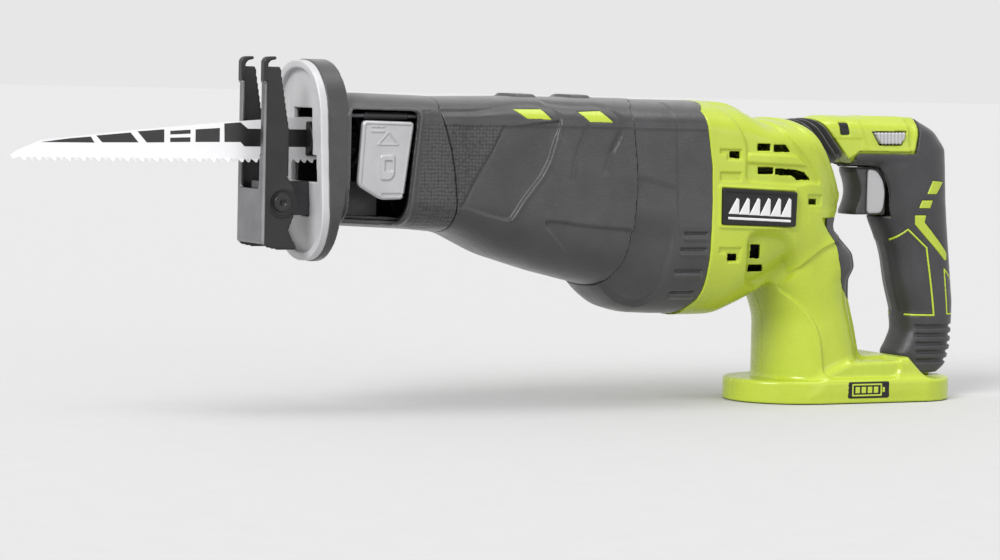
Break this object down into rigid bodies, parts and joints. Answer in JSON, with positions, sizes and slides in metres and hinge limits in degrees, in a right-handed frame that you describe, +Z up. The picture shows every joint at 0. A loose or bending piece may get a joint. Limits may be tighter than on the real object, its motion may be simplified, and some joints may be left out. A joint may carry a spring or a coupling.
{
  "type": "reciprocating saw",
  "caption": "Cordless reciprocating saw with pivoting shoe, crank-driven blade, battery socket base and sprung D-handle.",
  "frame": {"origin": "on the surface the tool stands on, under the middle of the whole tool's box", "axes": "+X along the tool from the blade to the rear handle, +Z up, +Y to the tool's right seen from behind the handle looking at the blade from the back"},
  "size_m": [0.6131, 0.0918, 0.201],
  "materials": {
    "lime_plastic": "moulded lime green plastic, fine spark texture",
    "dark_plastic": "moulded dark grey plastic",
    "boot_rubber": "dark grey moulded rubber with a fine pebble texture",
    "grip_rubber": "dark overmoulded rubber grip",
    "black_plastic": "black moulded plastic",
    "grey_plastic": "light grey moulded plastic",
    "cast_aluminium": "die-cast aluminium, bead blasted",
    "lever_metal": "satin cast lever",
    "machined_steel": "ground and turned steel",
    "dark_steel": "black oxide steel",
    "sintered_bronze": "oil-filled bronze",
    "contact_brass": "plated spring brass",
    "blade_paint": "white lacquered steel with dark bands and bright teeth",
    "felt": "pressed felt"
  },
  "bodies": {
    "housing": {"nose_boot": "boot_rubber", "nose_casting": "cast_aluminium", "gear_case": "cast_aluminium", "gear_case_cover": "cast_aluminium", "body_boot": "boot_rubber", "gear_bearing": "machined_steel", "front_bush": "sintered_bronze", "rear_bush": "sintered_bronze", "felt_seal": "felt", "shoe_bracket": "dark_steel", "shoe_rivet": "dark_steel", "lever_pin": "machined_steel", "front_bearing": "machined_steel", "rear_bearing": "machined_steel", "motor_can": "dark_steel", "end_bell": "black_plastic", "drum": "dark_plastic", "motor_bulkhead": "black_plastic", "housing_left": "lime_plastic", "housing_right": "lime_plastic", "knuckle_pad": "grip_rubber", "label_left": "black_plastic", "label_right": "black_plastic", "battery_well": "black_plastic", "contact_left": "contact_brass", "contact_right": "contact_brass", "terminal_block": "black_plastic", "handle_pin": "machined_steel", "bellows": "grip_rubber", "housing_screw_1": "machined_steel", "housing_screw_2": "machined_steel", "housing_screw_3": "machined_steel", "housing_screw_4": "machined_steel"},
    "crank": {"crown_gear": "machined_steel", "crank_pin": "machined_steel", "crank_roller": "machined_steel"},
    "rotor": {"motor_shaft": "machined_steel", "pinion": "machined_steel", "fan": "black_plastic", "armature": "dark_steel", "commutator": "contact_brass"},
    "plunger": {"plunger_rod": "machined_steel", "yoke": "machined_steel", "clamp_body": "dark_steel", "clamp_collar": "dark_steel", "clamp_pin": "machined_steel", "blade": "blade_paint"},
    "shoe": {"shoe": "dark_steel"},
    "release_lever": {"clamp_lever": "lever_metal"},
    "release_cam": {"release_ring": "dark_steel"},
    "handle": {"handle_left": "lime_plastic", "handle_right": "lime_plastic", "grip_overmould": "grip_rubber", "switch_module": "black_plastic", "trigger_spring": "machined_steel", "handle_screw_1": "machined_steel", "handle_screw_2": "machined_steel", "handle_screw_3": "machined_steel"},
    "trigger": {"trigger": "dark_plastic"},
    "lock_off": {"lock_off_button": "grey_plastic"}
  },
  "joints": [
    {"name": "crank_spin", "type": "hinge", "parent": "housing", "child": "crank", "pos_m": [0.036, 0, 0.122], "axis": [0, 0, 1], "range_deg": [-90, 90]},
    {"name": "motor_spin", "type": "hinge", "parent": "housing", "child": "rotor", "pos_m": [0.1, 0, 0.112], "axis": [1, 0, 0], "range_deg": [-451, 451]},
    {"name": "plunger_stroke", "type": "slide", "parent": "housing", "child": "plunger", "axis": [1, 0, 0], "range_m": [-0.01115, 0.01115]},
    {"name": "shoe_pivot", "type": "hinge", "parent": "housing", "child": "shoe", "pos_m": [-0.1559, 0, 0.1194], "axis": [0, 1, 0], "range_deg": [-18, 12]},
    {"name": "lever_lift", "type": "hinge", "parent": "housing", "child": "release_lever", "pos_m": [-0.1, -0.0288, 0.169], "axis": [1, 0, 0], "range_deg": [-40, 0], "stiffness_Nm_per_rad": 0.2, "springref_deg": 5.73},
    {"name": "release_turn", "type": "hinge", "parent": "housing", "child": "release_cam", "pos_m": [-0.099, 0, 0.155], "axis": [1, 0, 0], "range_deg": [-20.5, 0.5]},
    {"name": "handle_rock", "type": "hinge", "parent": "housing", "child": "handle", "pos_m": [0.284, 0, 0.025], "axis": [0, 1, 0], "range_deg": [-1.2, 1.2], "stiffness_Nm_per_rad": 60, "deforming": ["bellows"]},
    {"name": "trigger_pull", "type": "slide", "parent": "handle", "child": "trigger", "axis": [1, 0, 0], "range_m": [0, 0.007], "stiffness_N_per_m": 900, "springref_m": -0.004, "deforming": ["trigger_spring"]},
    {"name": "lock_off_slide", "type": "slide", "parent": "handle", "child": "lock_off", "axis": [0, 1, 0], "range_m": [-0.003, 0.003], "stiffness_N_per_m": 500}
  ],
  "couplings": [
    {"joint": "motor_spin", "follows": "crank_spin", "ratio": -5},
    {"joint": "plunger_stroke", "follows": "crank_spin", "m_per_rad": 0.0070664},
    {"joint": "release_turn", "follows": "lever_lift", "ratio": 0.5}
  ]
}
